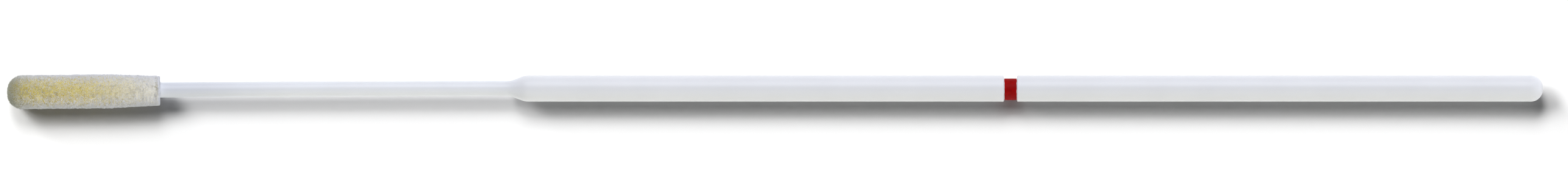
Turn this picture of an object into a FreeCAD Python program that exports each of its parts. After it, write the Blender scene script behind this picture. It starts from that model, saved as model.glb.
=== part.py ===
import FreeCAD, Part
import math
import os

import Sketcher

# A flocked specimen swab: one moulded shaft, a sleeve of short fibres on its front end and
# a ring of ink in the groove where the handle is made to snap.
#
# The swab lies along X with its tip towards -X. The origin is under the middle of its
# length, on the surface that it lies on, and +Z is up. Each piece is turned about the
# swab's axis from a half section in the XZ plane, where x is counted from the nose of the
# tip and z from the axis.

# Driving dimensions in millimetres: alias, value, what it is.
SIZES = (
    ("overall_length", 153.0, "nose of the tip to the end of the handle"),
    ("tip_length", 15.3, "length of the fibre sleeve"),
    ("tip_diameter", 3.5, "fibre sleeve over its front two thirds"),
    ("tip_taper_length", 4.9, "back stretch of the sleeve that narrows"),
    ("tip_narrowing", 0.45, "loss of diameter over that stretch"),
    ("tip_nose_round", 1.55, "rounding of the nose"),
    ("tip_back_round", 0.35, "rounding of the sleeve's back edge"),
    ("nose_cover", 1.0, "fibre in front of the core"),
    ("adhesive_film", 0.03, "clearance between core and sleeve, filled by glue"),
    ("neck_diameter", 1.5, "neck, and the core inside the sleeve"),
    ("core_nose_round", 0.6, "rounding of the core's front end"),
    ("neck_length", 34.9, "bare neck between sleeve and shoulder"),
    ("shoulder_length", 1.45, "cone from neck to handle"),
    ("shoulder_round", 1.5, "blend radius at both ends of the cone"),
    ("handle_diameter", 2.6, "handle"),
    ("handle_end_round", 1.2, "rounding of the handle's free end"),
    ("break_distance", 100.0, "nose of the tip to the middle of the break groove"),
    ("groove_floor_width", 1.25, "flat floor of the break groove"),
    ("groove_depth", 0.26, "break groove below the handle's surface"),
    ("groove_draft", 0.06, "how far each groove wall leans out over its depth"),
    ("groove_edge_round", 0.04, "rounding of the groove's two outer edges"),
    ("ink_thickness", 0.04, "ink on the groove floor"),
    ("smallest_flat", 0.05, "flat that a full rounding leaves at the axis"),
)

FULL_TURN = 360.0
EDGE_MATCH = 1e-4  # how near an edge lies to the place that names it

# Radii and stations along x, as expressions on the sheet.
NECK_RADIUS = "Sizes.neck_diameter / 2"
HANDLE_RADIUS = "Sizes.handle_diameter / 2"
TIP_RADIUS = "Sizes.tip_diameter / 2"
TIP_BACK_RADIUS = "(Sizes.tip_diameter - Sizes.tip_narrowing) / 2"
BORE_RADIUS = "(Sizes.neck_diameter / 2 + Sizes.adhesive_film)"
GROOVE_RADIUS = "(Sizes.handle_diameter / 2 - Sizes.groove_depth)"
INK_RADIUS = "(Sizes.handle_diameter / 2 - Sizes.groove_depth + Sizes.ink_thickness)"
MOUTH_RADIUS = "(Sizes.handle_diameter / 2 + Sizes.groove_depth)"
CORE_START = "Sizes.nose_cover"
BORE_START = "(Sizes.nose_cover - Sizes.adhesive_film)"
TAPER_START = "(Sizes.tip_length - Sizes.tip_taper_length)"
SHOULDER_START = "(Sizes.tip_length + Sizes.neck_length)"
SHOULDER_END = "(Sizes.tip_length + Sizes.neck_length + Sizes.shoulder_length)"
FLOOR_FRONT = "(Sizes.break_distance - Sizes.groove_floor_width / 2)"
FLOOR_BACK = "(Sizes.break_distance + Sizes.groove_floor_width / 2)"


def add_sizes(doc):
    """The sheet of driving dimensions: a name, its value and a note on each row."""
    sheet = doc.addObject("Spreadsheet::Sheet", "Sizes")
    for row, (alias, value, note) in enumerate(SIZES, start=1):
        sheet.set(f"A{row}", alias)
        sheet.set(f"B{row}", str(value))
        sheet.set(f"C{row}", note)
        sheet.setAlias(f"B{row}", alias)
    doc.recompute()
    return sheet


def add_body(doc, label):
    """A body whose own x starts at the nose of the tip and whose own z starts at the axis."""
    body = doc.addObject("PartDesign::Body", label)
    body.Label = label
    body.setExpression("Placement.Base.x", "-Sizes.overall_length / 2")
    body.setExpression("Placement.Base.z", TIP_RADIUS)
    return body


def value_of(item, expression):
    """The number that an expression on the sheet gives now."""
    return float(item.evalExpression(expression))


def draw_section(body, name, corners):
    """A closed half section whose corners are pairs of expressions, x along and z from the axis."""
    sketch = body.newObject("Sketcher::SketchObject", name)
    plane = next(p for p in body.Origin.OriginFeatures if p.Role == "XZ_Plane")
    sketch.AttachmentSupport = (plane, "")
    sketch.MapMode = "FlatFace"
    values = [[value_of(sketch, text) for text in corner] for corner in corners]
    points = [FreeCAD.Vector(x, z, 0) for x, z in values]
    count = len(points)
    for line in range(count):
        sketch.addGeometry(Part.LineSegment(points[line], points[(line + 1) % count]))
    for line in range(count):
        sketch.addConstraint(Sketcher.Constraint("Coincident", line, 2, (line + 1) % count, 1))
    for line, (along, out) in enumerate(corners):
        place_point(sketch, line, "DistanceX", along, values[line][0])
        place_point(sketch, line, "DistanceY", out, values[line][1])
    return sketch


def place_point(sketch, line, kind, expression, value):
    """Holds the start of a line at its distance from the sketch's origin, or on an axis at 0."""
    if expression == "0":
        axis = {"DistanceX": -2, "DistanceY": -1}[kind]
        sketch.addConstraint(Sketcher.Constraint("PointOnObject", line, 1, axis))
        return
    index = sketch.addConstraint(Sketcher.Constraint(kind, -1, 1, line, 1, value))
    sketch.setExpression(f"Constraints[{index}]", expression)


def turn(body, kind, name, sketch):
    """Turns a half section once round the swab's axis, to add to the body or to cut it."""
    feature = body.newObject(kind, name)
    feature.Profile = (sketch, [""])
    feature.ReferenceAxis = (sketch, ["H_Axis"])
    feature.Angle = FULL_TURN
    body.Document.recompute()
    return feature


def round_edge(body, name, radius, places):
    """Rounds the circular edges at the given places, pairs of expressions for x and radius."""
    base = body.Tip
    wanted = [[value_of(body, text) for text in place] for place in places]
    names = [
        f"Edge{number}"
        for number, edge in enumerate(base.Shape.Edges, start=1)
        if isinstance(edge.Curve, Part.Circle)
        and any(
            abs(edge.Curve.Center.x - x) < EDGE_MATCH and abs(edge.Curve.Radius - r) < EDGE_MATCH
            for x, r in wanted
        )
    ]
    if len(names) != len(places):
        raise RuntimeError(f"{name}: found {len(names)} of {len(places)} edges")
    fillet = body.newObject("PartDesign::Fillet", name)
    fillet.Base = (base, names)
    fillet.setExpression("Radius", radius)
    body.Document.recompute()
    return fillet


def build_shaft(doc):
    """The moulding: core, neck, shoulder and handle in one, cut by the break groove."""
    body = add_body(doc, "shaft")
    section = draw_section(
        body,
        "ShaftSection",
        (
            (CORE_START, "0"),
            (CORE_START, NECK_RADIUS),
            (SHOULDER_START, NECK_RADIUS),
            (SHOULDER_END, HANDLE_RADIUS),
            ("Sizes.overall_length", HANDLE_RADIUS),
            ("Sizes.overall_length", "0"),
        ),
    )
    turn(body, "PartDesign::Revolution", "ShaftTurned", section)
    round_edge(
        body,
        "CoreNose",
        "min(Sizes.core_nose_round; Sizes.neck_diameter / 2 - Sizes.smallest_flat)",
        [(CORE_START, NECK_RADIUS)],
    )
    round_edge(
        body,
        "ShoulderBlend",
        "Sizes.shoulder_round",
        [(SHOULDER_START, NECK_RADIUS), (SHOULDER_END, HANDLE_RADIUS)],
    )
    round_edge(
        body,
        "HandleEnd",
        "min(Sizes.handle_end_round; Sizes.handle_diameter / 2 - Sizes.smallest_flat)",
        [("Sizes.overall_length", HANDLE_RADIUS)],
    )
    cut_groove(body)
    return body


def cut_groove(body):
    """The break groove, whose walls lean out and are drawn on past the handle's surface."""
    whole = body.Tip.Shape.Volume
    # The walls lean by the draft over the depth, and the section is twice as high as that.
    lean = "2 * Sizes.groove_draft"
    section = draw_section(
        body,
        "GrooveSection",
        (
            (FLOOR_FRONT, GROOVE_RADIUS),
            (f"{FLOOR_FRONT} - {lean}", MOUTH_RADIUS),
            (f"{FLOOR_BACK} + {lean}", MOUTH_RADIUS),
            (FLOOR_BACK, GROOVE_RADIUS),
        ),
    )
    groove = turn(body, "PartDesign::Groove", "BreakGroove", section)
    handle, floor = value_of(body, HANDLE_RADIUS), value_of(body, GROOVE_RADIUS)
    over_floor = math.pi * (handle**2 - floor**2) * value_of(body, "Sizes.groove_floor_width")
    if whole - groove.Shape.Volume < over_floor:
        raise RuntimeError("the break groove cut less than the ring over its floor")
    round_edge(
        body,
        "GrooveEdges",
        "Sizes.groove_edge_round",
        [
            (f"{FLOOR_FRONT} - Sizes.groove_draft", HANDLE_RADIUS),
            (f"{FLOOR_BACK} + Sizes.groove_draft", HANDLE_RADIUS),
        ],
    )


def build_flock_tip(doc):
    """The sleeve of fibre, with a blind bore that the core fills."""
    body = add_body(doc, "flock_tip")
    section = draw_section(
        body,
        "SleeveSection",
        (
            ("0", "0"),
            ("0", TIP_RADIUS),
            (TAPER_START, TIP_RADIUS),
            ("Sizes.tip_length", TIP_BACK_RADIUS),
            ("Sizes.tip_length", BORE_RADIUS),
            (BORE_START, BORE_RADIUS),
            (BORE_START, "0"),
        ),
    )
    turn(body, "PartDesign::Revolution", "SleeveTurned", section)
    round_edge(
        body,
        "SleeveNose",
        "min(Sizes.tip_nose_round; Sizes.tip_diameter / 2 - Sizes.smallest_flat)",
        [("0", TIP_RADIUS)],
    )
    round_edge(body, "SleeveBack", "Sizes.tip_back_round", [("Sizes.tip_length", TIP_BACK_RADIUS)])
    round_edge(
        body,
        "BoreNose",
        "min(Sizes.core_nose_round; Sizes.neck_diameter / 2 - Sizes.smallest_flat)"
        " + Sizes.adhesive_film",
        [(BORE_START, BORE_RADIUS)],
    )
    return body


def build_break_mark(doc):
    """The ring of ink that covers the groove's floor."""
    body = add_body(doc, "break_mark")
    section = draw_section(
        body,
        "InkSection",
        (
            (FLOOR_FRONT, GROOVE_RADIUS),
            (FLOOR_FRONT, INK_RADIUS),
            (FLOOR_BACK, INK_RADIUS),
            (FLOOR_BACK, GROOVE_RADIUS),
        ),
    )
    turn(body, "PartDesign::Revolution", "InkTurned", section)
    return body


def check_document(doc, bodies):
    """Stops if any object failed, or if a body is not one sound solid."""
    for item in doc.Objects:
        if "Invalid" in item.State or "Error" in item.State:
            raise RuntimeError(f"{item.Label} failed: {item.State}")
    for body in bodies:
        shape = body.Shape
        if shape.isNull() or not shape.isValid() or len(shape.Solids) != 1:
            raise RuntimeError(f"{body.Label} is not one valid solid")


def main():
    doc = FreeCAD.newDocument("specimen_swab")
    add_sizes(doc)
    bodies = [build_shaft(doc), build_flock_tip(doc), build_break_mark(doc)]
    doc.recompute()
    check_document(doc, bodies)
    os.makedirs("parts", exist_ok=True)
    for body in bodies:
        body.Shape.exportStep(f"parts/{body.Label}.step")
        box = body.Shape.BoundBox
        print(body.Label, round(body.Shape.Volume, 3), "mm3", box)


main()
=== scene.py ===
"""Looks of a flocked specimen swab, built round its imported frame.

The swab lies along X with its tip towards -X. Its shaft, fibre bed, fibres and ink band are
surfaces worked out with numpy. The panel lists one operator for each, and one for the stage.
"""

import math

import bpy
import numpy as np
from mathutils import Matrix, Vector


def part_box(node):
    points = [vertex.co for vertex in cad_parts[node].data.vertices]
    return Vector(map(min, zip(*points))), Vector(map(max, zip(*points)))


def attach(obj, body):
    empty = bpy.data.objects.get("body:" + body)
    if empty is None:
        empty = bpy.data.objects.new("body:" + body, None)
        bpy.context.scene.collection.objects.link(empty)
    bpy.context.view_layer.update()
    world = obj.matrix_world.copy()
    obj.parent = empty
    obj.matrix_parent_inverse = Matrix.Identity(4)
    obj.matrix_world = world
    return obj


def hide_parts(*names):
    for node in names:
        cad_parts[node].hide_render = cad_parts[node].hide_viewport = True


bl_info = {
    "name": "Flocked Specimen Swab",
    "version": (1, 0, 0),
    "blender": (4, 5, 0),
    "location": "View3D > Sidebar > Swab",
    "description": "Builds a moulded swab with a flocked fibre tip and a break mark",
    "category": "Add Mesh",
}

MM = 0.001
BAKE_MAP = "OFBake"
ROOT_BODY = "root"
NECK_PIECE, HANDLE_PIECE = "moulded_neck", "moulded_handle"
LIT_PIECES, SOLID_PIECES, LIT_FLOOR = "swab_pieces", "solid_pieces", "floor"

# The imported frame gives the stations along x, the radii and the height of the swab's axis.
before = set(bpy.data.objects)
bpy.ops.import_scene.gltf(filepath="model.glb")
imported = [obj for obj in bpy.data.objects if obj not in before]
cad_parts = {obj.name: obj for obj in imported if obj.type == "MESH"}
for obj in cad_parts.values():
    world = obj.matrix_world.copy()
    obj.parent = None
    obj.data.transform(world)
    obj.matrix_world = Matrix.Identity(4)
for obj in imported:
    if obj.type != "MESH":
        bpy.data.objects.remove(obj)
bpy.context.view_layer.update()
SHAFT_LOW, SHAFT_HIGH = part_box("shaft")
TIP_LOW, TIP_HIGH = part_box("flock_tip")
MARK_LOW, MARK_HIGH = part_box("break_mark")
AXIS_HEIGHT = (TIP_LOW.z + TIP_HIGH.z) / 2
NOSE_X, TIP_BACK_X = TIP_LOW.x, TIP_HIGH.x
TIP_RADIUS = (TIP_HIGH.z - TIP_LOW.z) / 2
CORE_X, HANDLE_END_X = SHAFT_LOW.x, SHAFT_HIGH.x
HANDLE_RADIUS = (SHAFT_HIGH.z - SHAFT_LOW.z) / 2
MARK_FRONT_X, MARK_BACK_X = MARK_LOW.x, MARK_HIGH.x
MARK_RADIUS = (MARK_HIGH.z - MARK_LOW.z) / 2

# An outline's arcs turn no further than this from point to point.
ARC_STEP = math.radians(9)
# Points of an outline that lie closer than this are one point.
SAME_PLACE = 1e-8
# A length too small to matter on the shaft.
HAIR = MM / 1000

# Even columns round the shaft, and more over each ridge of its parting line, which stand at
# these numbers of half widths from its crest. Even ones nearer than the last number give way.
SHAFT_COLUMNS = 120
RIDGE_COLUMNS = (-1.4, -1, -0.5, 0, 0.5, 1, 1.4)
RIDGE_CLEARANCE = 1.6
SHAFT_STEP = 2 * MM
# The thick part of the shaft starts as a short plug hidden inside the slim part, which is
# wider by a hair.
PLUG_LENGTH = 0.5 * MM
PLUG_GAP = 0.004 * MM
# How far behind the tip the painted shade on the neck fades out. The neck is drawn darker next to the
# tip, where the tip shades it.
TIP_SHADE_LENGTH = 14 * MM

BED_COLUMNS = 200
BED_STEP = 0.07 * MM
# The bed has lumps of two sizes, and the fine ones are this share of the broad ones' height.
BROAD_LUMP, FINE_LUMP = 1.1 * MM, 0.4 * MM
FINE_LUMP_SHARE = 0.6
# At the back, the bed lies only this share of its depth below the fibre ends.
BACK_DEPTH_SHARE = 0.5
# The nose is rounded at least this much, however deep below the fibre ends.
LEAST_ROUND = MM / 10

FIBRE_STEP = 0.1 * MM
# The back face has fibres down to this share of the tip's radius, just clear of the neck.
BACK_FACE_SHARE = 0.46
# Up to this many times as many fibres are added where they are seen end on.
END_ON_EXTRA = 3
# Fibres lean by patches of this size, and each by a random amount of its own. Both are in
# shares of the fibre spread.
LEAN_PATCH = 0.6 * MM
LEAN_BY_PATCH, LEAN_BY_FIBRE = 0.5, 0.9
# Fibre ends rise and sink by patches of this size, each sinks by a random amount of its own,
# and all sink a little. These three are in shares of the fibre length.
RISE_PATCH = 0.5 * MM
RISE_BY_PATCH, SINK_BY_FIBRE, SINK_OF_ALL = 0.08, 0.2, 0.06
# A fibre's end is thinner than its root by this factor.
END_THINNING = 0.7
# A unit direction that no fibre is likely to run along.
ODD_DIRECTION = (0.36, 0.48, 0.8)
# Each side of a fibre takes this much of the map's width, and each end this much of its height.
MAP_STRIP = 0.004
MAP_END = 0.01

# The painted shade at the nose fades over this share of the tip's length, by a power that keeps most of
# it close to the nose.
NOSE_SHARE = 0.4
NOSE_POWER = 3.0
# Fibres take their colour from further forward or back by patches of this size and by a random
# amount of their own, in shares of the tip's length. The nose's own share is even.
COLOUR_PATCH = 0.9 * MM
COLOUR_BY_PATCH, COLOUR_BY_FIBRE = 0.16, 0.06
EVEN_NOSE_SHARE = 0.25
# No fibre behind this share of the nose's painted shade takes its colour from in front of it.
SHADE_LIMIT = 0.4

# The ink band's section is squarish: cosine and sine to this power. Its edges waver in waves
# of this length.
BAND_COLUMNS, BAND_ROWS = 120, 24
BAND_SQUARENESS = 0.35
WAVER_LENGTH = 1.5 * MM

# Most of a noise texture's values lie between these two.
NOISE_LOW, NOISE_HIGH = 0.3, 0.7
# The sizes of the materials' patterns. Real grain is about 0.03 mm, drawn coarser to show.
FLOW_MARK_SIZE = 4 * MM
GRAIN_SIZE = 0.09 * MM
BED_PATCH_SIZE = 0.5 * MM
INK_PATCH_SIZE = 0.35 * MM
# The bed turns from yellow to clean from this far behind the nose to this far past the tip's
# back, so that even the back keeps a trace.
YELLOW_LENGTH = 6 * MM
TRACE_LENGTH = 4 * MM


def linear_rgb(hex_colour):
    """The linear colour of an sRGB hex value such as #E8E9EE."""
    levels = np.array([int(hex_colour[i : i + 2], 16) for i in (1, 3, 5)]) / 255
    low = levels / 12.92
    high = ((levels + 0.055) / 1.055) ** 2.4
    return tuple(np.where(levels <= 0.04045, low, high).tolist())


def length(name, description, millimetres):
    """A length property in metres whose default is given in millimetres."""
    return bpy.props.FloatProperty(
        name=name,
        description=description,
        default=millimetres * MM,
        min=0.0,
        unit="LENGTH",
        precision=5,
    )


def colour(name, description, hex_colour):
    """A colour property whose default is an sRGB hex value."""
    return bpy.props.FloatVectorProperty(
        name=name,
        description=description,
        default=linear_rgb(hex_colour),
        min=0.0,
        max=1.0,
        size=3,
        subtype="COLOR",
    )


class ShaftSettings(bpy.types.PropertyGroup):
    """Sizes and colours of the moulded shaft."""

    neck_diameter: length("Neck diameter", "Bare neck behind the tip", 1.5)
    neck_length: length("Neck length", "From the tip's back to the shoulder", 34.9)
    shoulder_length: length("Shoulder length", "Cone from neck to handle", 1.45)
    shoulder_round: length("Shoulder round", "Blend at both ends of the cone", 1.5)
    core_round: length("Core round", "Rounding of the core's front end", 0.6)
    end_round: length("End round", "Rounding of the handle's free end", 1.2)
    bow: length("Bow", "How far the slim neck lets the nose hang towards -Y", 0.31)
    groove_draft: length("Groove draft", "Lean of each groove wall over its depth", 0.06)
    groove_edge: length("Groove edge", "Rounding of the groove's edges", 0.04)
    groove_offset: length("Groove offset", "How far the groove sits off centre, to -Y", 0.08)
    ink_thickness: length("Ink thickness", "Ink on the groove floor", 0.04)
    parting_height: length("Parting line height", "Ridge where the mould halves met", 0.008)
    parting_width: length("Parting line width", "Half width of that ridge", 0.08)
    handle_colour: colour("Handle colour", "Thick plastic", "#ECEDF1")
    neck_colour: colour("Neck colour", "Thin plastic, which lets light through", "#EDEFF4")
    # Painted shade: the darker, bluer colour of the neck next to the tip, where the tip shades it.
    tip_shade_colour: colour("Primed colour", "Neck by the tip, under a trace of primer", "#DBDEE6")


class FlockSettings(bpy.types.PropertyGroup):
    """Sizes and colours of the fibre tip."""

    nose_round: length("Nose round", "Rounding of the nose", 1.55)
    back_round: length("Back round", "Rounding of the sleeve's back edge", 0.25)
    taper_length: length("Taper length", "Back stretch that narrows", 4.9)
    narrowing: length("Narrowing", "Loss of diameter over that stretch", 0.45)
    hang: length("Hang", "How far the fibres sit off the core's centre, towards -Y", 0.07)
    set_back: length("Set back", "How far the fibres sit behind their place, away from the nose", 0.06)
    bed_depth: length("Bed depth", "How far the fibre bed lies under the fibre ends", 0.27)
    bed_lump: length("Bed lumps", "Height of the bed's lumps", 0.04)
    fibre_length: length("Fibre length", "Length of fibre that shows", 0.42)
    fibre_thickness: length("Fibre thickness", "Thickness of one fibre", 0.022)
    fibre_spread: bpy.props.FloatProperty(
        name="Fibre spread",
        description="How far fibres lean away from upright",
        default=math.radians(12),
        min=0.0,
        subtype="ANGLE",
    )
    fibre_count: bpy.props.IntProperty(
        name="Fibres",
        description="Fibres in each of the three layers",
        default=24000,
        min=1,
        max=24900,
    )
    bed_colour: colour("Bed colour", "Glued roots of the fibres", "#C4B04A")
    root_colour: colour("Root colour", "Fibres near their roots, by the nose", "#D2C36A")
    end_colour: colour("End colour", "Free ends of the fibres", "#E3E4E9")
    # Painted shade: a darker colour multiplied into the fibres and bed at the nose.
    painted_nose_shade: colour("Nose tint", "Shade that soaked-up adhesive gives the nose", "#C0C0A2")


class InkSettings(bpy.types.PropertyGroup):
    """Size and colour of the printed band in the break groove."""

    waver: length("Waver", "How unevenly the band's edges run", 0.015)
    ink_colour: colour("Ink colour", "Deep red printing ink", "#990304")


class StageSettings(bpy.types.PropertyGroup):
    """Floor, lamps and camera."""

    frame_width: length("Frame width", "Width that the camera takes in", 156.1)
    frame_shift_x: length("Frame shift", "Camera centre past the swab's middle", 0.95)
    frame_drop_y: length("Frame drop", "Camera centre below the swab's axis", 0.95)
    floor_colour: colour("Floor colour", "Matte white card", "#F2F2F2")


# ------------------------------------------------------------------ shapes


def rounded_outline(corners, step):
    """The path through corners of (x, radius, rounding), with no step longer than step.

    A rounded corner becomes the arc that touches both of its runs: it starts and ends at
    rounding * tan(turn / 2) from the corner, and its points are the start and end spokes
    mixed by sines so that they stay on the circle.
    """
    places = np.array([corner[:2] for corner in corners], float)
    parts = [places[:1]]
    for number in range(1, len(corners) - 1):
        here, rounding = places[number], corners[number][2]
        back = places[number - 1] - here
        ahead = places[number + 1] - here
        back /= np.linalg.norm(back)
        ahead /= np.linalg.norm(ahead)
        turn = math.pi - math.acos(float(np.clip(back @ ahead, -1, 1)))
        if rounding == 0:
            parts.append(here[None])
            continue
        reach = rounding * math.tan(turn / 2)
        middle = here + (back + ahead) / np.linalg.norm(back + ahead) * math.hypot(rounding, reach)
        first, last = here + back * reach - middle, here + ahead * reach - middle
        share = np.linspace(0, 1, max(3, math.ceil(turn / ARC_STEP)))[:, None]
        spokes = (np.sin((1 - share) * turn) * first + np.sin(share * turn) * last) / math.sin(turn)
        parts.append(middle + spokes)
    path = np.concatenate(parts + [places[-1:]])
    gone = along_path(path)
    even = np.linspace(0, gone[-1], math.ceil(gone[-1] / step) + 1)
    stations = np.union1d(gone, even)
    stations = stations[np.append(True, np.diff(stations) > SAME_PLACE)]
    return np.column_stack([np.interp(stations, gone, path[:, axis]) for axis in (0, 1)])


def along_path(path):
    """The distance gone at each point of a path."""
    return np.append(0, np.cumsum(np.linalg.norm(np.diff(path, axis=0), axis=1)))


def turned(path, angles, rise=0.0):
    """Each (x, radius + rise) of a path turned to each angle about the axis.

    An angle is 0 straight up and grows towards +Y.
    """
    x, radius = path[:, :1], path[:, 1:] + rise
    return np.stack(
        [
            np.broadcast_to(x, (len(path), len(angles))),
            radius * np.sin(angles),
            AXIS_HEIGHT + radius * np.cos(angles),
        ],
        axis=-1,
    )


def around(sides):
    """Even angles round the axis."""
    return np.linspace(0, 2 * math.pi, sides, endpoint=False)


def waves(x, angle, wavelength, seed, count=48):
    """Smooth noise on the tip, about -1 to 1, that meets itself after a full turn.

    It is a sum of cosines. Each has a random phase, a random number of waves per metre
    along x and a whole number of waves round the tip, both normal about 0 with the spread
    that gives the wavelength.
    """
    random = np.random.default_rng(seed)
    along = random.normal(0, 1, count) * 2 * math.pi / wavelength
    round_tip = np.rint(random.normal(0, 1, count) * 2 * math.pi * TIP_RADIUS / wavelength)
    phase = random.uniform(0, 2 * math.pi, count)
    total = np.zeros(np.broadcast(x, angle).shape)
    for per_metre, per_turn, start in zip(along, round_tip, phase):
        total += np.cos(per_metre * x + per_turn * angle + start)
    return total / math.sqrt(count)


def bowed(points, shaft):
    """Points moved towards -Y by the bow times the square of their share of the way from
    the shoulder to the nose."""
    shoulder = TIP_BACK_X + shaft.neck_length
    share = np.clip((shoulder - points[:, 0]) / (shoulder - NOSE_X), 0, None)
    return points - shaft.bow * np.square(share)[:, None] * (0, 1, 0)


def new_piece(name, points, faces, uvs, material):
    """A smooth mesh object from points, a list of face arrays and one uv array for each.

    The swab's lamps light every piece. Each one but the milky neck also keeps off the lamp
    whose light the neck lets through.
    """
    points = bowed(points, bpy.context.scene.swab_shaft)
    mesh = bpy.data.meshes.new(name)
    corners = np.concatenate([face.ravel() for face in faces]).astype(np.int32)
    counts = np.concatenate([np.full(len(face), face.shape[1]) for face in faces])
    starts = np.append(0, np.cumsum(counts)[:-1]).astype(np.int32)
    mesh.vertices.add(len(points))
    mesh.vertices.foreach_set("co", np.asarray(points, np.float32).ravel())
    mesh.loops.add(len(corners))
    mesh.loops.foreach_set("vertex_index", corners)
    mesh.polygons.add(len(starts))
    mesh.polygons.foreach_set("loop_start", starts)
    mesh.update(calc_edges=True)
    layer = mesh.uv_layers.new(name=BAKE_MAP)
    flat = np.concatenate([uv.reshape(-1, 2) for uv in uvs]).astype(np.float32)
    layer.data.foreach_set("uv", flat.ravel())
    mesh.shade_smooth()
    mesh.materials.append(material)
    if mesh.validate():
        raise RuntimeError(f"{name} had faces that are not sound")
    piece = bpy.data.objects.new(name, mesh)
    bpy.context.scene.collection.objects.link(piece)
    light_group(LIT_PIECES).objects.link(piece)
    if name != NECK_PIECE:
        light_group(SOLID_PIECES).objects.link(piece)
    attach(piece, ROOT_BODY)
    return piece


def lathe_piece(name, path, points, material):
    """A closed piece from a grid of rows along the path and columns round the axis.

    The first and last rows lie on the axis, so each becomes one pole. Its uv map is the
    share of the path's length and the share of the columns.
    """
    rows, columns = points.shape[:2]
    share = along_path(path) / along_path(path)[-1]
    poles = np.array([points[0, 0], points[-1, 0]])
    vertices = np.concatenate([poles, points[1:-1].reshape(-1, 3)])
    row, column = np.mgrid[0 : rows - 3, 0:columns]
    beside = (column + 1) % columns

    def vertex(along, turn):
        """The number of the point in that ring and column, after the poles."""
        return len(poles) + along * columns + turn

    def place(along, turn):
        """The uv of the point in that ring and column."""
        return np.stack(np.broadcast_arrays(share[along + 1], turn / columns), axis=-1)

    quads = np.stack(
        [
            vertex(row, column),
            vertex(row + 1, column),
            vertex(row + 1, beside),
            vertex(row, beside),
        ],
        axis=-1,
    ).reshape(-1, 4)
    quad_uv = np.stack(
        [
            place(row, column),
            place(row + 1, column),
            place(row + 1, column + 1),
            place(row, column + 1),
        ],
        axis=-2,
    ).reshape(-1, 4, 2)
    turn = np.arange(columns)
    after = (turn + 1) % columns
    front_pole, back_pole = np.zeros_like(turn), np.ones_like(turn)
    end = rows - 3
    first = np.stack([front_pole, vertex(0, turn), vertex(0, after)], axis=-1)
    last = np.stack([vertex(end, turn), back_pole, vertex(end, after)], axis=-1)
    first_uv = np.stack([place(-1, turn + 0.5), place(0, turn), place(0, turn + 1)], axis=-2)
    last_uv = np.stack([place(end, turn), place(end + 1, turn + 0.5), place(end, turn + 1)], axis=-2)
    return new_piece(name, vertices, [quads, first, last], [quad_uv, first_uv, last_uv], material)


def neck_corners(shaft):
    """Corners of the slim part's outline as (x, radius, rounding).

    It runs from its core to a flat end a fifth of the way into the shoulder, past one last
    ring that keeps the shading of its side even.
    """
    neck = shaft.neck_diameter / 2
    shoulder = TIP_BACK_X + shaft.neck_length
    end = shoulder + shaft.shoulder_length / 5
    return (
        (CORE_X, 0, 0),
        (CORE_X, neck, shaft.core_round),
        (shoulder, neck, 0),
        (end, neck, 0),
        (end, 0, 0),
    )


def handle_corners(shaft):
    """Corners of the thick part's outline as (x, radius, rounding).

    It starts as a plug a hair slimmer than the neck round it, comes out through the neck's
    surface where the shoulder's round begins, and ends at the handle's free end.
    """
    plug = shaft.neck_diameter / 2 - PLUG_GAP
    shoulder = TIP_BACK_X + shaft.neck_length
    floor = MARK_RADIUS - shaft.ink_thickness
    return (
        (shoulder - PLUG_LENGTH, 0, 0),
        (shoulder - PLUG_LENGTH, plug, 0),
        (shoulder, plug, shaft.shoulder_round),
        (shoulder + shaft.shoulder_length, HANDLE_RADIUS, shaft.shoulder_round),
        (MARK_FRONT_X - shaft.groove_draft, HANDLE_RADIUS, shaft.groove_edge),
        (MARK_FRONT_X, floor, 0),
        (MARK_BACK_X, floor, 0),
        (MARK_BACK_X + shaft.groove_draft, HANDLE_RADIUS, shaft.groove_edge),
        (HANDLE_END_X, HANDLE_RADIUS, shaft.end_round),
        (HANDLE_END_X, 0, 0),
    )


def tip_corners(flock, depth):
    """Corners of the sleeve's outer outline, depth below its fibre ends, nose to back."""
    nose = NOSE_X + depth
    side = TIP_RADIUS - depth
    back = TIP_BACK_X - BACK_DEPTH_SHARE * depth
    narrow = side - flock.narrowing / 2
    return (
        (nose, 0, 0),
        (nose, side, max(flock.nose_round - depth, LEAST_ROUND)),
        (TIP_BACK_X - flock.taper_length, side, 0),
        (back, narrow, flock.back_round),
    )


# ------------------------------------------------------------------ materials


def add_node(tree, kind, settings=None, inputs=None):
    """Adds a node, sets its own settings, and sets or links its inputs."""
    node = tree.nodes.new(kind)
    for key, value in (settings or {}).items():
        setattr(node, key, value)
    for key, value in (inputs or {}).items():
        if isinstance(value, bpy.types.NodeSocket):
            tree.links.new(value, node.inputs[key])
        else:
            node.inputs[key].default_value = value
    return node


def new_material(name):
    """An empty node material and its tree."""
    material = bpy.data.materials.new(name)
    material.use_nodes = True
    material.node_tree.nodes.clear()
    return material, material.node_tree


def finish_material(tree, settings):
    """The one shader of a material, with its inputs, joined to the output."""
    shader = add_node(tree, "ShaderNodeBsdfPrincipled", inputs=settings)
    add_node(tree, "ShaderNodeOutputMaterial", inputs={"Surface": shader.outputs["BSDF"]})


def rgba(value):
    """A colour with full alpha."""
    return (*value, 1.0)


def shaded_nose(tree, colour_socket, place_socket, nose, end, tint):
    """A colour multiplied by the tint at the nose, which paints shade there.

    The tint's share is the share of the way left from end back to the nose, to a power.
    """
    near = add_node(
        tree,
        "ShaderNodeMapRange",
        inputs={
            "Value": place_socket,
            "From Min": nose,
            "From Max": end,
            "To Min": 1.0,
            "To Max": 0.0,
        },
    ).outputs["Result"]
    share = add_node(
        tree,
        "ShaderNodeMath",
        {"operation": "POWER"},
        {0: near, 1: NOSE_POWER},
    ).outputs["Value"]
    return add_node(
        tree,
        "ShaderNodeMix",
        {"data_type": "RGBA", "blend_type": "MULTIPLY"},
        {"Factor": share, "A": colour_socket, "B": rgba(tint)},
    ).outputs["Result"]


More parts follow.
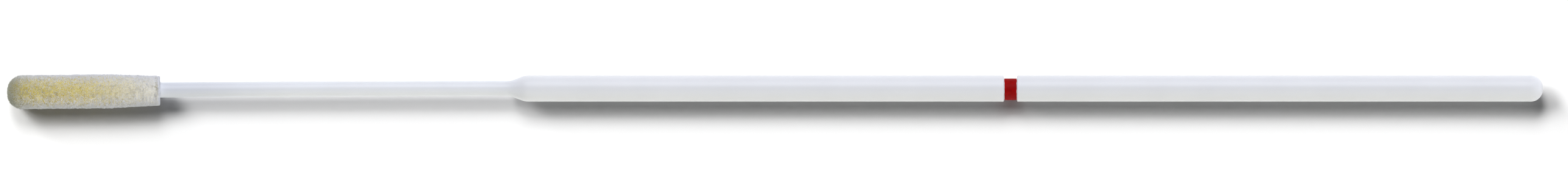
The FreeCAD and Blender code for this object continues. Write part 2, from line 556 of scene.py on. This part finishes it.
def moulded_styrene(shaft):
    """White styrene from a spark-eroded mould: an even, satin surface with a very fine grain.

    Where it is thin it lets light through and looks a shade greyer and bluer. Next to the tip it is
    drawn darker and bluer still: painted shade where the tip shades the neck.
    """
    material, tree = new_material("moulded_styrene")
    place = add_node(tree, "ShaderNodeTexCoord").outputs["Object"]
    x = add_node(tree, "ShaderNodeSeparateXYZ", inputs={"Vector": place}).outputs["X"]
    shoulder = TIP_BACK_X + shaft.neck_length
    thick = add_node(
        tree,
        "ShaderNodeMapRange",
        {"interpolation_type": "SMOOTHSTEP"},
        {"Value": x, "From Min": shoulder, "From Max": shoulder + shaft.shoulder_length},
    ).outputs["Result"]
    # Painted shade: the neck turns from the darker colour next to the tip to its own colour over the
    # first stretch behind the tip.
    away = add_node(
        tree,
        "ShaderNodeMapRange",
        {"interpolation_type": "SMOOTHSTEP"},
        {"Value": x, "From Min": TIP_BACK_X, "From Max": TIP_BACK_X + TIP_SHADE_LENGTH},
    ).outputs["Result"]
    neck = add_node(
        tree,
        "ShaderNodeMix",
        {"data_type": "RGBA"},
        {"Factor": away, "A": rgba(shaft.tip_shade_colour), "B": rgba(shaft.neck_colour)},
    ).outputs["Result"]
    body = add_node(
        tree,
        "ShaderNodeMix",
        {"data_type": "RGBA"},
        {"Factor": thick, "A": neck, "B": rgba(shaft.handle_colour)},
    ).outputs["Result"]
    # Flow marks: broad, faint clouds.
    flow = add_node(
        tree,
        "ShaderNodeTexNoise",
        inputs={"Vector": place, "Scale": 1 / FLOW_MARK_SIZE, "Detail": 2.0},
    ).outputs["Fac"]
    shade = add_node(
        tree,
        "ShaderNodeMapRange",
        inputs={
            "Value": flow,
            "From Min": NOISE_LOW,
            "From Max": NOISE_HIGH,
            "To Min": 0.975,
            "To Max": 1.0,
        },
    ).outputs["Result"]
    tinted = add_node(
        tree,
        "ShaderNodeMix",
        {"data_type": "RGBA", "blend_type": "MULTIPLY"},
        {"Factor": 1.0, "A": body, "B": shade},
    ).outputs["Result"]
    # Grain of the eroded mould: it varies the gloss, and lifts and sinks the surface a little.
    grain = add_node(
        tree,
        "ShaderNodeTexNoise",
        inputs={"Vector": place, "Scale": 1 / GRAIN_SIZE, "Detail": 3.0},
    ).outputs["Fac"]
    rough = add_node(
        tree,
        "ShaderNodeMapRange",
        inputs={"Value": grain, "To Min": 0.48, "To Max": 0.62},
    ).outputs["Result"]
    bump = add_node(
        tree,
        "ShaderNodeBump",
        inputs={"Height": grain, "Strength": 0.12, "Distance": 0.004 * MM},
    ).outputs["Normal"]
    finish_material(
        tree,
        {
            "Base Color": tinted,
            "Roughness": rough,
            "IOR": 1.57,
            "Subsurface Weight": 0.15,
            "Subsurface Radius": (1.0, 0.95, 0.9),
            "Subsurface Scale": 0.5 * MM,
            "Normal": bump,
        },
    )
    return material


def flocked_bed(flock):
    """Glued roots of nylon flock, seen deep between the fibres: matte and unevenly yellow, with painted
    shade at the nose.
    """
    material, tree = new_material("flocked_nylon_bed")
    place = add_node(tree, "ShaderNodeTexCoord").outputs["Object"]
    patches = add_node(
        tree,
        "ShaderNodeTexNoise",
        inputs={"Vector": place, "Scale": 1 / BED_PATCH_SIZE, "Detail": 4.0, "Roughness": 0.6},
    ).outputs["Fac"]
    share = add_node(
        tree,
        "ShaderNodeMapRange",
        inputs={"Value": patches, "From Min": NOISE_LOW, "From Max": NOISE_HIGH},
    ).outputs["Result"]
    x = add_node(tree, "ShaderNodeSeparateXYZ", inputs={"Vector": place}).outputs["X"]
    clean = add_node(
        tree,
        "ShaderNodeMapRange",
        {"interpolation_type": "SMOOTHSTEP"},
        {"Value": x, "From Min": NOSE_X + YELLOW_LENGTH, "From Max": TIP_BACK_X + TRACE_LENGTH},
    ).outputs["Result"]
    yellow = add_node(
        tree,
        "ShaderNodeMix",
        {"data_type": "RGBA"},
        {"Factor": share, "A": rgba(flock.bed_colour), "B": rgba(flock.root_colour)},
    ).outputs["Result"]
    mixed = add_node(
        tree,
        "ShaderNodeMix",
        {"data_type": "RGBA"},
        {"Factor": clean, "A": yellow, "B": rgba(flock.end_colour)},
    ).outputs["Result"]
    # Painted shade darkens the bed at the nose.
    shade_end = NOSE_X + NOSE_SHARE * (TIP_BACK_X - NOSE_X)
    shaded = shaded_nose(tree, mixed, x, NOSE_X, shade_end, flock.painted_nose_shade)
    finish_material(tree, {"Base Color": shaded, "Roughness": 0.9, "IOR": 1.53})
    return material


def flock_fibre(flock):
    """Cut nylon fibre, fine and soft: yellowed by the adhesive near its root and by the nose, and
    darkened at the nose by painted shade.

    It reads the piece's own map, which says how far back the fibre stands and how far up
    the fibre a point lies.
    """
    material, tree = new_material("nylon_flock_fibre")
    place = add_node(tree, "ShaderNodeUVMap", {"uv_map": BAKE_MAP}).outputs["UV"]
    split = add_node(tree, "ShaderNodeSeparateXYZ", inputs={"Vector": place})
    # The fibres get cleaner towards the tip's back, and each gets cleaner towards its end.
    clean_back = add_node(
        tree,
        "ShaderNodeMapRange",
        {"interpolation_type": "SMOOTHSTEP"},
        {"Value": split.outputs["X"], "From Min": 0.15, "From Max": 1.3},
    ).outputs["Result"]
    clean_end = add_node(
        tree,
        "ShaderNodeMapRange",
        inputs={"Value": split.outputs["Y"], "From Min": 0.3, "From Max": 0.76},
    ).outputs["Result"]
    clean = add_node(
        tree,
        "ShaderNodeMath",
        {"operation": "MAXIMUM"},
        {0: clean_back, 1: clean_end},
    ).outputs["Value"]
    mixed = add_node(
        tree,
        "ShaderNodeMix",
        {"data_type": "RGBA"},
        {"Factor": clean, "A": rgba(flock.root_colour), "B": rgba(flock.end_colour)},
    ).outputs["Result"]
    # Painted shade darkens the fibres at the nose.
    shaded = shaded_nose(tree, mixed, split.outputs["X"], 0.0, NOSE_SHARE, flock.painted_nose_shade)
    finish_material(
        tree,
        {"Base Color": shaded, "Roughness": 0.6, "IOR": 1.53, "Sheen Weight": 0.2},
    )
    return material


def printing_ink(ink):
    """Solvent ink rolled into the groove: opaque, deep red and half glossy, a little uneven."""
    material, tree = new_material("printing_ink")
    place = add_node(tree, "ShaderNodeTexCoord").outputs["Object"]
    cover = add_node(
        tree,
        "ShaderNodeTexNoise",
        inputs={"Vector": place, "Scale": 1 / INK_PATCH_SIZE, "Detail": 3.0},
    ).outputs["Fac"]
    shade = add_node(
        tree,
        "ShaderNodeMapRange",
        inputs={
            "Value": cover,
            "From Min": NOISE_LOW,
            "From Max": NOISE_HIGH,
            "To Min": 0.8,
            "To Max": 1.1,
        },
    ).outputs["Result"]
    mixed = add_node(
        tree,
        "ShaderNodeMix",
        {"data_type": "RGBA", "blend_type": "MULTIPLY"},
        {"Factor": 1.0, "A": rgba(ink.ink_colour), "B": shade},
    ).outputs["Result"]
    rough = add_node(
        tree,
        "ShaderNodeMapRange",
        inputs={"Value": cover, "To Min": 0.5, "To Max": 0.65},
    ).outputs["Result"]
    finish_material(
        tree,
        {"Base Color": mixed, "Roughness": rough, "IOR": 1.5, "Specular IOR Level": 0.06},
    )
    return material


def white_card(stage):
    """Matte white card, without any gloss: plain white wherever no shadow falls."""
    material, tree = new_material("matte_white_card")
    finish_material(
        tree,
        {"Base Color": rgba(stage.floor_colour), "Roughness": 1.0, "Specular IOR Level": 0.0},
    )
    return material


# ------------------------------------------------------------------ pieces


class SWAB_OT_shaft(bpy.types.Operator):
    """Build the moulded shaft: its slim core and neck, and its thick handle with the groove"""

    bl_idname = "swab.shaft"
    bl_label = "Shaft"

    def execute(self, context):
        shaft = context.scene.swab_shaft
        angles = self.columns(shaft)
        material = moulded_styrene(shaft)
        for name, corners in (
            (NECK_PIECE, neck_corners(shaft)),
            (HANDLE_PIECE, handle_corners(shaft)),
        ):
            path = rounded_outline(corners, SHAFT_STEP)
            rise = self.parting_line(shaft, path, angles) - self.groove_rise(shaft, path, angles)
            piece = lathe_piece(name, path, turned(path, angles, rise), material)
            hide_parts("shaft")
        return {"FINISHED"}

    def columns(self, shaft):
        """Even angles, with finer ones over the two ridges of the parting line."""
        half = shaft.parting_width / HANDLE_RADIUS
        fine = np.array(RIDGE_COLUMNS) * half
        even = around(SHAFT_COLUMNS)
        clear = np.abs(np.cos(even)) > math.sin(RIDGE_CLEARANCE * half)
        return np.sort(np.concatenate([even[clear], math.pi / 2 + fine, 3 * math.pi / 2 + fine]))

    def groove_rise(self, shaft, path, angles):
        """The groove offset times the sine of the angle, on the floor of the groove alone.

        Those are the points by the mark whose radius is the mark's less the ink's thickness.
        """
        x, radius = path[:, :1], path[:, 1:]
        by_mark = np.abs(x - MARK_FRONT_X) < MARK_BACK_X - MARK_FRONT_X + MM
        on_floor = np.abs(radius - MARK_RADIUS + shaft.ink_thickness) < HAIR
        return shaft.groove_offset * (by_mark & on_floor) * np.sin(angles)

    def parting_line(self, shaft, path, angles):
        """The rise over the round surface: a low bell at both sides, none on the axis.

        The bell is (1 + cos(turn / half width * pi)) / 2 within its half width.
        """
        half = shaft.parting_width / HANDLE_RADIUS
        off = np.arcsin(np.clip(np.abs(np.cos(angles)), 0, 1)) / half
        bell = (1 + np.cos(np.pi * np.clip(off, 0, 1))) / 2
        fade = np.clip(path[:, 1:] / (shaft.neck_diameter / 2), 0, 1)
        return shaft.parting_height * bell * fade


class SWAB_OT_flock_bed(bpy.types.Operator):
    """Build the bed of packed fibre that shows between the outer fibres"""

    bl_idname = "swab.flock_bed"
    bl_label = "Fibre bed"

    def execute(self, context):
        flock, shaft = context.scene.swab_flock, context.scene.swab_shaft
        bore = shaft.neck_diameter / 2
        corners = tip_corners(flock, flock.bed_depth) + (
            (TIP_BACK_X - BACK_DEPTH_SHARE * flock.bed_depth, bore, 0),
            (CORE_X, bore, shaft.core_round),
            (CORE_X, 0, 0),
        )
        path = rounded_outline(corners, BED_STEP)
        angles = around(BED_COLUMNS)
        x, radius = path[:, :1], path[:, 1:]
        broad = waves(x, angles, BROAD_LUMP, seed=11)
        lump = flock.bed_lump * (broad + FINE_LUMP_SHARE * waves(x, angles, FINE_LUMP, seed=12))
        # Lumps and hang grow from none at the bore to all of it at the tip's full radius.
        outer = np.clip((radius - bore) / (TIP_RADIUS - bore), 0, 1) * (x < TIP_BACK_X)
        points = turned(path, angles, outer * lump)
        points[..., 1] -= outer * flock.hang
        piece = lathe_piece("flock_bed", path, points, flocked_bed(flock))
        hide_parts("flock_tip")
        return {"FINISHED"}


class SWAB_OT_fibres(bpy.types.Operator):
    """Plant the short upright fibres of the tip in three layers"""

    bl_idname = "swab.fibres"
    bl_label = "Fibres"

    def execute(self, context):
        flock = context.scene.swab_flock
        material = flock_fibre(flock)
        for layer in range(1, 4):
            piece = plant_fibres(f"flock_fibres_{layer}", flock, material, layer)
            piece.visible_shadow = layer == 1
        return {"FINISHED"}


def plant_fibres(name, flock, material, seed):
    """One layer of fibres: three-sided prisms that stand on the tip's outline and lean at random.

    A fibre's place along the outline is drawn evenly by area, and up to four times as often
    where the outline falls towards the axis, as on the back face, where the fibres are seen
    end on. It stands along the outline's normal, leans by a smooth noise that its neighbours
    share and by a random amount of its own, and is thinner at its end.
    """
    random = np.random.default_rng(seed)
    count = flock.fibre_count
    corners = tip_corners(flock, 0) + ((TIP_BACK_X, BACK_FACE_SHARE * TIP_RADIUS, 0),)
    path = rounded_outline(corners, FIBRE_STEP)
    gone = along_path(path)
    steep = np.clip(-np.diff(path[:, 1]) / np.diff(gone), 0, 1)
    share = np.diff(gone) * (path[1:, 1] + path[:-1, 1]) * (1 + END_ON_EXTRA * steep**2)
    area = np.append(0, np.cumsum(share))
    drawn = np.interp(random.uniform(0, area[-1], count), area, gone)
    slope = np.gradient(path, gone, axis=0)
    x, radius, ahead_x, ahead_radius = (
        np.interp(drawn, gone, values) for values in (*path.T, *slope.T)
    )
    angle = random.uniform(0, 2 * math.pi, count)
    none, one = np.zeros(count), np.ones(count)
    out = np.stack([none, np.sin(angle), np.cos(angle)], axis=-1)
    ahead = np.stack([one, none, none], axis=-1) * ahead_x[:, None] + out * ahead_radius[:, None]
    aside = np.stack([none, np.cos(angle), -np.sin(angle)], axis=-1)
    normal = np.cross(ahead, aside)
    surface = out * radius[:, None]
    surface += np.stack([x + flock.set_back, none - flock.hang, none + AXIS_HEIGHT], axis=-1)

    spread = math.tan(flock.fibre_spread)
    direction = normal
    for way, seed in ((ahead, 21), (aside, 22)):
        shared = LEAN_BY_PATCH * waves(x, angle, LEAN_PATCH, seed)
        lean = spread * (shared + random.normal(0, LEAN_BY_FIBRE, count))
        direction = direction + way * lean[:, None]
    direction /= np.linalg.norm(direction, axis=1, keepdims=True)
    rise = RISE_BY_PATCH * waves(x, angle, RISE_PATCH, seed=23)
    rise = rise - np.abs(random.normal(0, SINK_BY_FIBRE, count)) - SINK_OF_ALL
    rise *= flock.fibre_length
    end = surface + normal * rise[:, None]
    root = end - direction * flock.fibre_length
    return prism_piece(name, root, end, flock.fibre_thickness / 2, material, fibre_map(x, angle, random))


def fibre_map(x, angle, random):
    """How far back each fibre's colour comes from, 0 at the nose to 1 at the back.

    It is the fibre's own share of the way, moved on or back by patches. They grow from none at the nose,
    and leave the nose's darkest painted shade to the fibres that stand there.
    """
    share = (x - NOSE_X) / (TIP_BACK_X - NOSE_X)
    patches = COLOUR_BY_PATCH * waves(x, angle, COLOUR_PATCH, seed=31)
    patches = patches + random.normal(0, COLOUR_BY_FIBRE, len(x))
    patches *= np.clip(share / EVEN_NOSE_SHARE, 0, 1)
    return np.maximum(share + patches, np.minimum(share, SHADE_LIMIT * NOSE_SHARE))


def prism_piece(name, root, end, radius, material, place):
    """Closed three-sided prisms from root to end, a little thinner at the end.

    Three corners stand round each end of a fibre on two directions square to it. The uv
    map holds the fibre's place, spread a little over its sides, and 0 at root to 1 at end.
    """
    count = len(root)
    line = end - root
    line /= np.linalg.norm(line, axis=1, keepdims=True)
    across = np.cross(line, ODD_DIRECTION)
    across /= np.linalg.norm(across, axis=1, keepdims=True)
    other = np.cross(line, across)
    turn = np.radians([0, 120, 240])[:, None]
    spoke = across[:, None] * np.cos(turn) + other[:, None] * np.sin(turn)
    roots, ends = root[:, None] + spoke * radius, end[:, None] + spoke * radius * END_THINNING
    points = np.stack([roots, ends], axis=1)
    base = 6 * np.arange(count)[:, None, None]
    quads = base + np.array([[0, 1, 4, 3], [1, 2, 5, 4], [2, 0, 3, 5]])
    caps = base + np.array([[2, 1, 0], [3, 4, 5]])
    # Each face has its own strip or sliver of the map, so that none is without area there.
    u = np.clip(place, 0, 1 - 4 * MAP_STRIP)[:, None, None]
    quad_u = u + np.array([[0, 1, 1, 0], [1, 2, 2, 1], [2, 3, 3, 2]]) * MAP_STRIP
    quad_v = np.broadcast_to([0.0, 0.0, 1.0, 1.0], quad_u.shape)
    cap_u = u + np.array([[2, 1, 0], [0, 1, 2]]) * MAP_STRIP
    cap_v = np.broadcast_to([[0.0, MAP_END, 0.0], [1 - MAP_END, 1.0, 1 - MAP_END]], cap_u.shape)
    return new_piece(
        name,
        points.reshape(-1, 3),
        [quads.reshape(-1, 4), caps.reshape(-1, 3)],
        [np.stack([quad_u, quad_v], axis=-1), np.stack([cap_u, cap_v], axis=-1)],
        material,
    )


class SWAB_OT_ink_band(bpy.types.Operator):
    """Build the red ink band on the floor of the break groove"""

    bl_idname = "swab.ink_band"
    bl_label = "Ink band"

    def execute(self, context):
        ink, shaft = context.scene.swab_ink, context.scene.swab_shaft
        piece = self.band(ink, shaft)
        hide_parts("break_mark")
        return {"FINISHED"}

    def band(self, ink, shaft):
        """A closed ring: a flat, squarish section carried round the groove floor.

        Round the section, the width goes as the cosine and the height as the sine, each with
        its sign kept and its size to the power of the squareness.
        """
        columns, rows = BAND_COLUMNS, BAND_ROWS
        angle = around(columns)[None, :]
        section = around(rows)[:, None]
        wide = np.sign(np.cos(section)) * np.abs(np.cos(section)) ** BAND_SQUARENESS
        high = np.sign(np.sin(section)) * np.abs(np.sin(section)) ** BAND_SQUARENESS
        half = (MARK_BACK_X - MARK_FRONT_X) / 2 - ink.waver
        middle = (MARK_BACK_X + MARK_FRONT_X) / 2
        edge = half + ink.waver * waves(wide * MM, angle, WAVER_LENGTH, seed=41)
        x = middle + wide * edge
        radius = MARK_RADIUS - shaft.ink_thickness / 2 + high * shaft.ink_thickness / 2
        radius = radius - shaft.groove_offset * np.sin(angle)
        y, z = radius * np.sin(angle), AXIS_HEIGHT + radius * np.cos(angle)
        points = np.stack([x, y, z], axis=-1)
        row, column = np.mgrid[0:rows, 0:columns]
        corners = ((row, column), (row + 1, column), (row + 1, column + 1), (row, column + 1))
        quads = [(down % rows) * columns + turn % columns for down, turn in corners]
        uv = [np.stack([down / rows, turn / columns], axis=-1) for down, turn in corners]
        # The corners run backwards, so that the faces point outwards.
        quads = np.stack(quads, axis=-1).reshape(-1, 4)[:, ::-1]
        uv = np.stack(uv, axis=-2).reshape(-1, 4, 2)[:, ::-1]
        return new_piece("ink_band", points.reshape(-1, 3), [quads], [uv], printing_ink(ink))


# ------------------------------------------------------------------ stage

# Each far lamp: name, degrees off straight up, bearing from +Y towards -X, degrees wide.
# A floor lamp then has its share of the floor's light. Three soft boxes stand in an arc from
# behind the swab round to its left, and the low one gives the long, faint end of the shadow.
FLOOR_LAMPS = (
    ("floor_back", 45.0, 10.0, 25.0, 0.4),
    ("floor_key", 50.0, 60.0, 25.0, 0.3),
    ("floor_low", 70.0, 45.0, 15.0, 0.1),
)
# One more box between them, whose light the thin, milky neck lets through.
LAMP_THROUGH_NECK = ("floor_through_neck", 50.0, 45.0, 25.0, 0.2)
# How bright the plain floor comes out, where 1 is white.
FLOOR_LEVEL = 1.05
WHITE_LIGHT = "#FFFFFF"

# A swab lamp then has its energy and colour: cool from behind, high up, and from the handle's
# end, and warm from in front.
COOL_LIGHT, WARM_LIGHT = "#F6F8FF", "#FAFAF0"
SWAB_LAMPS = (
    ("high_box", 40.0, 0.0, 25.0, 2.3, COOL_LIGHT),
    ("front_box", 40.0, 180.0, 30.0, 0.85, WARM_LIGHT),
    ("low_box", 85.0, 180.0, 20.0, 1.2, WARM_LIGHT),
    ("end_box", 85.0, 270.0, 20.0, 1.0, COOL_LIGHT),
)
# How bright the world is to everything but the camera, to which it is white.
WORLD_LIGHT = 0.05
# A far lamp shines alike from anywhere, and a camera with parallel rays sees alike from
# anywhere, so these heights only have to clear the swab.
LAMP_HEIGHT, CAMERA_HEIGHT = 0.5, 0.3
# Half the side of the square floor, which reaches far past any view.
FLOOR_HALF = 6.0


def light_group(name):
    """The collection with this name: things that some lamps light, or that block a lamp."""
    return bpy.data.collections.get(name) or bpy.data.collections.new(name)


def add_lamp(name, zenith, bearing, width, energy, hex_colour, receivers, blockers=None):
    """A broad, far lamp that lights only the objects in receivers.

    It stands zenith degrees off straight up and bearing degrees round from +Y towards -X,
    and looks width degrees wide from the swab. Only blockers cast its shadow, if given.
    """
    lamp = bpy.data.lights.new(name, "SUN")
    lamp.energy = energy
    lamp.angle = math.radians(width)
    lamp.color = linear_rgb(hex_colour)
    holder = bpy.data.objects.new(name, lamp)
    bpy.context.scene.collection.objects.link(holder)
    holder.rotation_euler = (-math.radians(zenith), 0, math.radians(bearing))
    holder.location = (0, 0, LAMP_HEIGHT)
    holder.visible_camera = False
    holder.light_linking.receiver_collection = receivers
    holder.light_linking.blocker_collection = blockers


class SWAB_OT_stage(bpy.types.Operator):
    """Set the white floor, the lamps, the world and the camera that looks straight down"""

    bl_idname = "swab.stage"
    bl_label = "Stage"

    def execute(self, context):
        stage = context.scene.swab_stage
        self.add_floor(stage)
        self.add_lamps(stage)
        self.add_world(context.scene)
        self.add_camera(context.scene, stage)
        context.scene.view_settings.view_transform = "Standard"
        return {"FINISHED"}

    def add_floor(self, stage):
        """A square plane at the height that the swab rests on."""
        mesh = bpy.data.meshes.new("floor")
        signs = ((-1, -1), (1, -1), (1, 1), (-1, 1))
        mesh.from_pydata([(FLOOR_HALF * x, FLOOR_HALF * y, 0) for x, y in signs], [], [(0, 1, 2, 3)])
        mesh.materials.append(white_card(stage))
        floor = bpy.data.objects.new("floor", mesh)
        bpy.context.scene.collection.objects.link(floor)
        light_group(LIT_FLOOR).objects.link(floor)

    def add_floor_lamp(self, stage, lamp, blockers):
        """A white lamp over the floor, with the energy that gives its share of the floor level.

        A matte floor of colour c under a far lamp of energy e, z off straight up, comes out at
        c * e * cos(z) / pi.
        """
        name, zenith, bearing, width, share = lamp
        level_per_energy = stage.floor_colour[0] * math.cos(math.radians(zenith)) / math.pi
        energy = FLOOR_LEVEL * share / level_per_energy
        add_lamp(name, zenith, bearing, width, energy, WHITE_LIGHT, light_group(LIT_FLOOR), blockers)

    def add_lamps(self, stage):
        """Soft lamps for the floor, from behind and the tip's side, and soft boxes for the swab."""
        for lamp in FLOOR_LAMPS:
            self.add_floor_lamp(stage, lamp, None)
        self.add_floor_lamp(stage, LAMP_THROUGH_NECK, light_group(SOLID_PIECES))
        for lamp in SWAB_LAMPS:
            add_lamp(*lamp, light_group(LIT_PIECES))

    def add_world(self, scene):
        """A dim, even world that shows as plain white where the camera sees past the floor."""
        world = bpy.data.worlds.new("studio")
        world.use_nodes = True
        tree = world.node_tree
        tree.nodes.clear()
        seen = add_node(tree, "ShaderNodeLightPath").outputs["Is Camera Ray"]
        strength = add_node(
            tree,
            "ShaderNodeMapRange",
            inputs={"Value": seen, "To Min": WORLD_LIGHT, "To Max": 1.0},
        ).outputs["Result"]
        light = add_node(
            tree,
            "ShaderNodeBackground",
            inputs={"Color": (1, 1, 1, 1), "Strength": strength},
        ).outputs["Background"]
        add_node(tree, "ShaderNodeOutputWorld", inputs={"Surface": light})
        scene.world = world

    def add_camera(self, scene, stage):
        """A camera with parallel rays over the swab, with the tip at the left of its frame."""
        camera = bpy.data.cameras.new("camera")
        camera.type = "ORTHO"
        camera.ortho_scale = stage.frame_width
        holder = bpy.data.objects.new("camera", camera)
        holder.location = (stage.frame_shift_x, -stage.frame_drop_y, CAMERA_HEIGHT)
        scene.collection.objects.link(holder)
        scene.camera = holder


class SWAB_PT_panel(bpy.types.Panel):
    """The swab's pieces and stage"""

    bl_idname = "SWAB_PT_panel"
    bl_label = "Specimen Swab"
    bl_space_type = "VIEW_3D"
    bl_region_type = "UI"
    bl_category = "Swab"

    def draw(self, context):
        for settings in (name for name, _ in SETTINGS):
            box = self.layout.box()
            group = getattr(context.scene, settings)
            for name in group.__annotations__:
                box.prop(group, name)
        for operator in OPERATORS:
            self.layout.operator(operator.bl_idname)


SETTINGS = (
    ("swab_shaft", ShaftSettings),
    ("swab_flock", FlockSettings),
    ("swab_ink", InkSettings),
    ("swab_stage", StageSettings),
)
OPERATORS = (SWAB_OT_stage, SWAB_OT_shaft, SWAB_OT_flock_bed, SWAB_OT_fibres, SWAB_OT_ink_band)


def register():
    for name, group in SETTINGS:
        bpy.utils.register_class(group)
        setattr(bpy.types.Scene, name, bpy.props.PointerProperty(type=group))
    for operator in OPERATORS:
        bpy.utils.register_class(operator)
    bpy.utils.register_class(SWAB_PT_panel)


def unregister():
    bpy.utils.unregister_class(SWAB_PT_panel)
    for operator in reversed(OPERATORS):
        bpy.utils.unregister_class(operator)
    for name, group in reversed(SETTINGS):
        delattr(bpy.types.Scene, name)
        bpy.utils.unregister_class(group)


def main():
    """Builds the stage and every piece."""
    register()
    bpy.ops.swab.stage()
    bpy.ops.swab.shaft()
    bpy.ops.swab.flock_bed()
    bpy.ops.swab.fibres()
    bpy.ops.swab.ink_band()


if __name__ == "__main__":
    main()
